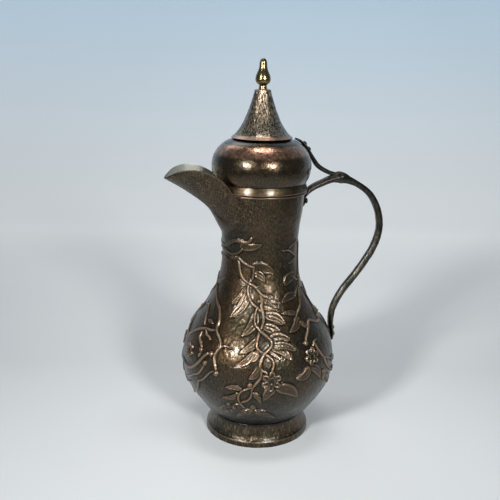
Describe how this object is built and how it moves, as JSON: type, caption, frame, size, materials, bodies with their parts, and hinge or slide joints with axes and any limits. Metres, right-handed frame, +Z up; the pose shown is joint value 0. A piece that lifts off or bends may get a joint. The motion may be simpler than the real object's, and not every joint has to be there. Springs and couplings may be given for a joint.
{
  "type": "lidded ewer",
  "caption": "Pear-shaped copper ewer on a flared foot, with an open beak spout, a forged S-shaped handle, and a hinged onion-domed lid topped by a spire and a turned finial.",
  "frame": {"origin": "on the surface that the foot stands on, midway between the spout's tip and the back of the handle, in the plane of symmetry", "axes": "+Z up; the spout points to -X and the handle to +X; the XZ plane is the plane of symmetry"},
  "size_m": [0.2388, 0.1678, 0.4],
  "materials": {
    "patinated_copper": "copper sheet with a dark brown patina, rubbed bright on raised places",
    "tinned_copper": "copper sheet with a worn grey tin lining",
    "forged_copper": "forged copper bar with a dark patina",
    "polished_brass": "turned and polished brass"
  },
  "bodies": {
    "jug": {"foot_ring": "patinated_copper", "base_disc": "tinned_copper", "belly_shell": "patinated_copper", "neck_shell": "patinated_copper", "rim_wire": "patinated_copper", "spout": "patinated_copper", "handle": "forged_copper", "handle_rivet_upper": "forged_copper", "handle_rivet_lower_a": "forged_copper", "handle_rivet_lower_b": "forged_copper", "hinge_pin": "forged_copper"},
    "lid": {"lid_band": "patinated_copper", "lid_bezel": "tinned_copper", "lid_dome": "patinated_copper", "lid_spire": "patinated_copper", "finial": "polished_brass", "finial_burr": "polished_brass", "lid_strap": "forged_copper", "strap_rivet_upper": "forged_copper", "strap_rivet_lower": "forged_copper"}
  },
  "joints": [
    {"name": "lid_hinge", "type": "hinge", "parent": "jug", "child": "lid", "pos_m": [0.06802, 0, 0.2795], "axis": [0, 1, 0], "range_deg": [0, 95]}
  ]
}
